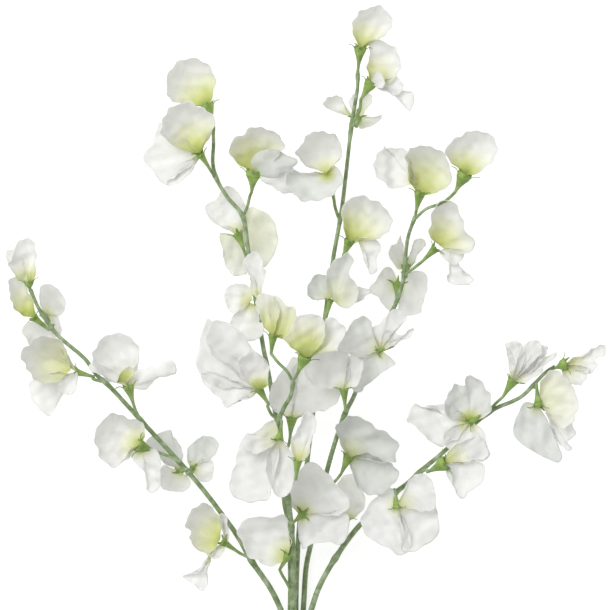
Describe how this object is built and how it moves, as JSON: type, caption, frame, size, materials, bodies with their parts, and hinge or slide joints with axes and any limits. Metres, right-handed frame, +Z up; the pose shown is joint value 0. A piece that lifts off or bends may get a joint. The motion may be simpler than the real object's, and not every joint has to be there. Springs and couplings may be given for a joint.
{
  "type": "artificial sweet pea spray",
  "caption": "Branched spray of artificial white sweet pea blossoms on slim green stems, laid flat on its side.",
  "frame": {"origin": "middle of the spray's footprint, on the surface it lies on", "axes": "+Y from the cut end of the stalk towards the tips, +X to the right as the picture shows it, +Z up from the surface"},
  "size_m": [0.4532, 0.6182, 0.0885],
  "materials": {
    "petal_fabric": "thin woven petal fabric, white with a yellow-green throat",
    "stem_plastic": "matte moulded green plastic over wire"
  },
  "bodies": {
    "root": {"centre_blossom_1": "petal_fabric", "centre_blossom_2": "petal_fabric", "centre_blossom_3": "petal_fabric", "centre_blossom_4": "petal_fabric", "centre_blossom_5": "petal_fabric", "centre_blossom_6": "petal_fabric", "centre_stem": "stem_plastic", "front_blossom_1": "petal_fabric", "front_blossom_2": "petal_fabric", "front_blossom_3": "petal_fabric", "front_blossom_4": "petal_fabric", "front_blossom_5": "petal_fabric", "front_blossom_6": "petal_fabric", "front_blossom_7": "petal_fabric", "front_blossom_8": "petal_fabric", "front_stem": "stem_plastic", "left_blossom_1": "petal_fabric", "left_blossom_2": "petal_fabric", "left_blossom_3": "petal_fabric", "left_blossom_4": "petal_fabric", "left_blossom_5": "petal_fabric", "left_blossom_6": "petal_fabric", "left_blossom_7": "petal_fabric", "left_blossom_8": "petal_fabric", "left_blossom_9": "petal_fabric", "left_stem": "stem_plastic", "main_stem": "stem_plastic", "right_blossom_1": "petal_fabric", "right_blossom_2": "petal_fabric", "right_blossom_3": "petal_fabric", "right_blossom_4": "petal_fabric", "right_blossom_5": "petal_fabric", "right_blossom_6": "petal_fabric", "right_blossom_7": "petal_fabric", "right_stem": "stem_plastic", "upper_left_blossom_1": "petal_fabric", "upper_left_blossom_2": "petal_fabric", "upper_left_blossom_3": "petal_fabric", "upper_left_blossom_4": "petal_fabric", "upper_left_blossom_5": "petal_fabric", "upper_left_blossom_6": "petal_fabric", "upper_left_stem": "stem_plastic", "upper_right_blossom_1": "petal_fabric", "upper_right_blossom_2": "petal_fabric", "upper_right_blossom_3": "petal_fabric", "upper_right_blossom_4": "petal_fabric", "upper_right_blossom_5": "petal_fabric", "upper_right_blossom_6": "petal_fabric", "upper_right_blossom_7": "petal_fabric", "upper_right_blossom_8": "petal_fabric", "upper_right_stem": "stem_plastic"}
  },
  "joints": []
}
